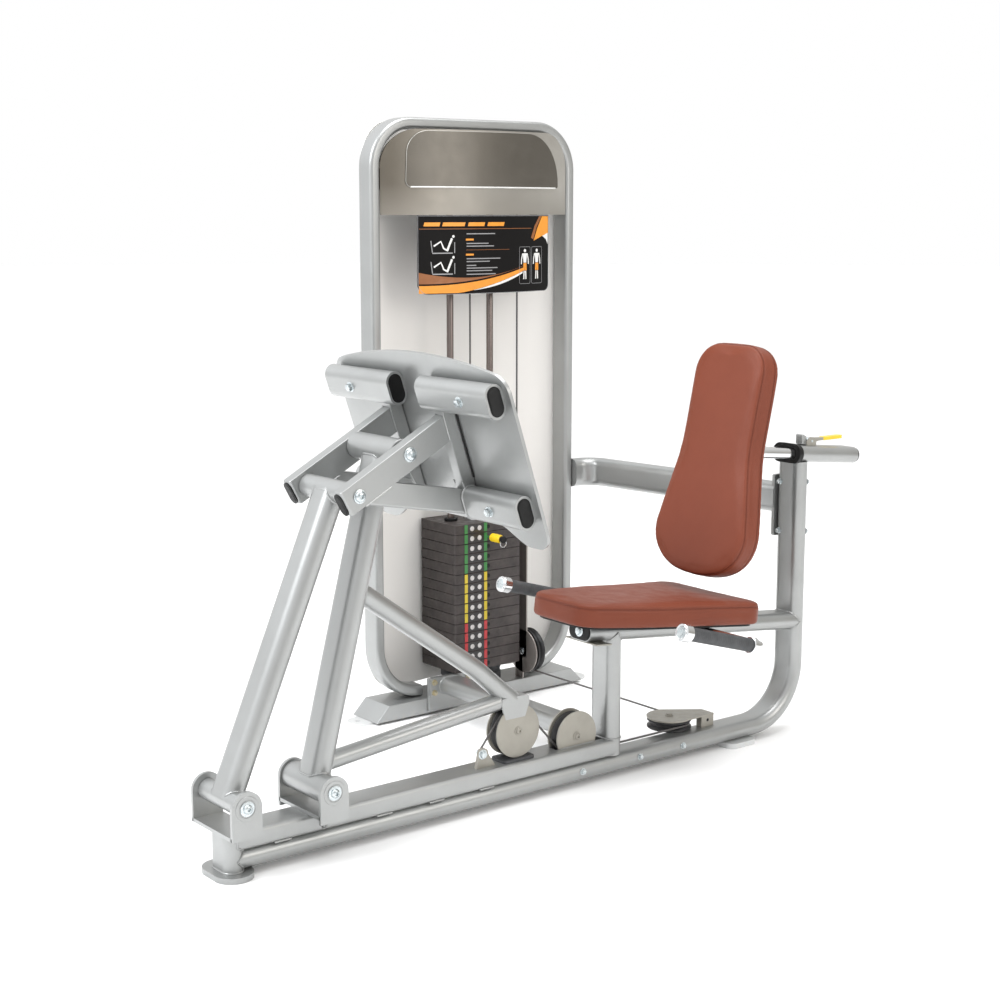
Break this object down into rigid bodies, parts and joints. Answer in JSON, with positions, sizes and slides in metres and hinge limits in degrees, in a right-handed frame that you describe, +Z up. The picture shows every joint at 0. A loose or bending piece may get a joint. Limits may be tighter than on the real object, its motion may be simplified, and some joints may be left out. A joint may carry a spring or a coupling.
{
  "type": "leg press machine",
  "caption": "Seated leg press with linked press arms, footplate carriage, cable and pulleys, selectorised weight tower, contoured seat, sliding backrest and side handles.",
  "frame": {"origin": "centre of the bounding box's base, on the floor under the middle of the machine", "axes": "+Z up; +X along the base rail from the front post towards the backrest; +Y from the seat side towards the weight tower"},
  "size_m": [1.9246, 1.173, 1.583],
  "materials": {
    "frame_paint": "satin silver-grey powder coat",
    "header_metal": "satin dark bronze-grey metallic",
    "name_plate": "satin dark bronze",
    "frosted_panel": "frosted off-white sheet",
    "upholstery": "soft-sheen tan-brown vinyl over foam",
    "black_plastic": "matt black",
    "black_rubber": "matt black",
    "chrome": "polished",
    "stack_plate": "dark brown-black coated",
    "pulley_nylon": "black nylon",
    "placard": "black printed sheet",
    "yellow_grip": "yellow",
    "cable_cover": "coated steel cable"
  },
  "bodies": {
    "frame": {"main_rail": "frame_paint", "front_post": "frame_paint", "upper_beam": "frame_paint", "seat_post": "frame_paint", "seat_beam": "frame_paint", "cross_tube": "frame_paint", "side_arch": "frame_paint", "front_clevis": "frame_paint", "rear_clevis": "frame_paint", "front_pivot_pin": "chrome", "rear_pivot_pin": "chrome", "adjuster_sleeve": "frame_paint", "sleeve_bushing": "black_plastic", "seat_pad": "upholstery", "seat_board": "black_plastic", "handle_bar": "chrome", "grip_right": "black_rubber", "grip_left": "black_rubber", "tower_loop": "frame_paint", "tower_base": "frame_paint", "header_shroud": "header_metal", "name_plate": "name_plate", "placard": "placard", "rear_shroud": "frosted_panel", "guide_rods": "chrome", "bumper_left": "black_rubber", "bumper_right": "black_rubber", "top_pulley_beam": "frame_paint", "rail_pulley_bracket": "frame_paint", "floor_pulley_bracket": "frame_paint", "base_pulley_bracket": "header_metal", "anchor_lug": "frame_paint", "lever_bumper": "black_rubber", "stack_plates": "stack_plate", "cable_run": "cable_cover", "cable_press": "cable_cover", "cable_stack": "cable_cover"},
    "rear_arm": {"rear_arm": "frame_paint", "lever_bracket": "frame_paint"},
    "front_arm": {"front_arm": "frame_paint"},
    "carriage": {"carriage_side_right": "frame_paint", "carriage_side_left": "frame_paint", "plate_tube_upper_right": "frame_paint", "plate_tube_upper_left": "frame_paint", "plate_tube_lower_right": "frame_paint", "plate_tube_lower_left": "frame_paint", "foot_plate": "frame_paint", "carriage_rear_pin": "chrome", "carriage_front_pin": "chrome"},
    "lever_wheel": {"lever_pulley": "pulley_nylon"},
    "rail_wheel": {"rail_pulley": "pulley_nylon"},
    "floor_wheel": {"floor_pulley": "pulley_nylon"},
    "base_wheel": {"base_pulley": "pulley_nylon"},
    "top_wheel_a": {"top_pulley_a": "pulley_nylon"},
    "top_wheel_b": {"top_pulley_b": "pulley_nylon"},
    "stack": {"lifted_plates": "stack_plate"},
    "selector": {"selector_pin": "yellow_grip"},
    "backrest": {"back_pad": "upholstery", "back_bracket": "chrome"},
    "lever": {"adjuster_lever": "yellow_grip"}
  },
  "joints": [
    {"name": "rear_arm_swing", "type": "hinge", "parent": "frame", "child": "rear_arm", "pos_m": [-0.71184, -0.2435, 0.152], "axis": [0, -1, 0], "range_deg": [0, 28], "deforming": ["cable_press"]},
    {"name": "front_arm_swing", "type": "hinge", "parent": "frame", "child": "front_arm", "pos_m": [-0.91984, -0.2435, 0.163], "axis": [0, -1, 0], "range_deg": [0, 33]},
    {"name": "carriage_tilt", "type": "hinge", "parent": "rear_arm", "child": "carriage", "pos_m": [-0.53184, -0.2435, 0.85], "axis": [0, -1, 0], "range_deg": [-48, 0]},
    {"name": "lever_pulley_spin", "type": "hinge", "parent": "rear_arm", "child": "lever_wheel", "pos_m": [-0.16984, -0.2435, 0.168], "axis": [0, -1, 0], "range_deg": [0, 226]},
    {"name": "rail_pulley_spin", "type": "hinge", "parent": "frame", "child": "rail_wheel", "pos_m": [0.00916, -0.2435, 0.121], "axis": [0, -1, 0], "range_deg": [-540, 0]},
    {"name": "floor_pulley_spin", "type": "hinge", "parent": "frame", "child": "floor_wheel", "pos_m": [0.37516, -0.1935, 0.072], "axis": [0, 0, 1], "range_deg": [-530, 0]},
    {"name": "base_pulley_spin", "type": "hinge", "parent": "frame", "child": "base_wheel", "pos_m": [0.42516, 0.4305, 0.127], "axis": [1, 0, 0], "range_deg": [-482, 0]},
    {"name": "top_pulley_a_spin", "type": "hinge", "parent": "frame", "child": "top_wheel_a", "pos_m": [0.39116, 0.4855, 1.44], "axis": [0, -1, 0], "range_deg": [-778, 0]},
    {"name": "top_pulley_b_spin", "type": "hinge", "parent": "frame", "child": "top_wheel_b", "pos_m": [0.29716, 0.4855, 1.44], "axis": [0, -1, 0], "range_deg": [-778, 0]},
    {"name": "weight_lift", "type": "slide", "parent": "frame", "child": "stack", "axis": [0, 0, 1], "range_m": [0, 0.462], "deforming": ["cable_stack"]},
    {"name": "selector_pull", "type": "slide", "parent": "stack", "child": "selector", "axis": [0, -1, 0], "range_m": [0, 0.085]},
    {"name": "backrest_slide", "type": "slide", "parent": "frame", "child": "backrest", "axis": [-0.9951, 0, 0.0991], "range_m": [0, 0.12]},
    {"name": "adjuster_lift", "type": "hinge", "parent": "frame", "child": "lever", "pos_m": [0.80616, -0.2435, 0.759], "axis": [0, -1, 0], "range_deg": [0, 18], "stiffness_Nm_per_rad": 0.3}
  ],
  "couplings": [
    {"joint": "front_arm_swing", "follows": "rear_arm_swing", "ratio": 1.1611},
    {"joint": "carriage_tilt", "follows": "rear_arm_swing", "ratio": -1.6923},
    {"joint": "lever_pulley_spin", "follows": "rear_arm_swing", "ratio": 8},
    {"joint": "rail_pulley_spin", "follows": "rear_arm_swing", "ratio": -19.2},
    {"joint": "floor_pulley_spin", "follows": "rear_arm_swing", "ratio": -18.82},
    {"joint": "base_pulley_spin", "follows": "rear_arm_swing", "ratio": -17.11},
    {"joint": "top_pulley_a_spin", "follows": "rear_arm_swing", "ratio": -27.68},
    {"joint": "top_pulley_b_spin", "follows": "rear_arm_swing", "ratio": -27.68},
    {"joint": "weight_lift", "follows": "rear_arm_swing", "m_per_rad": 0.941}
  ]
}
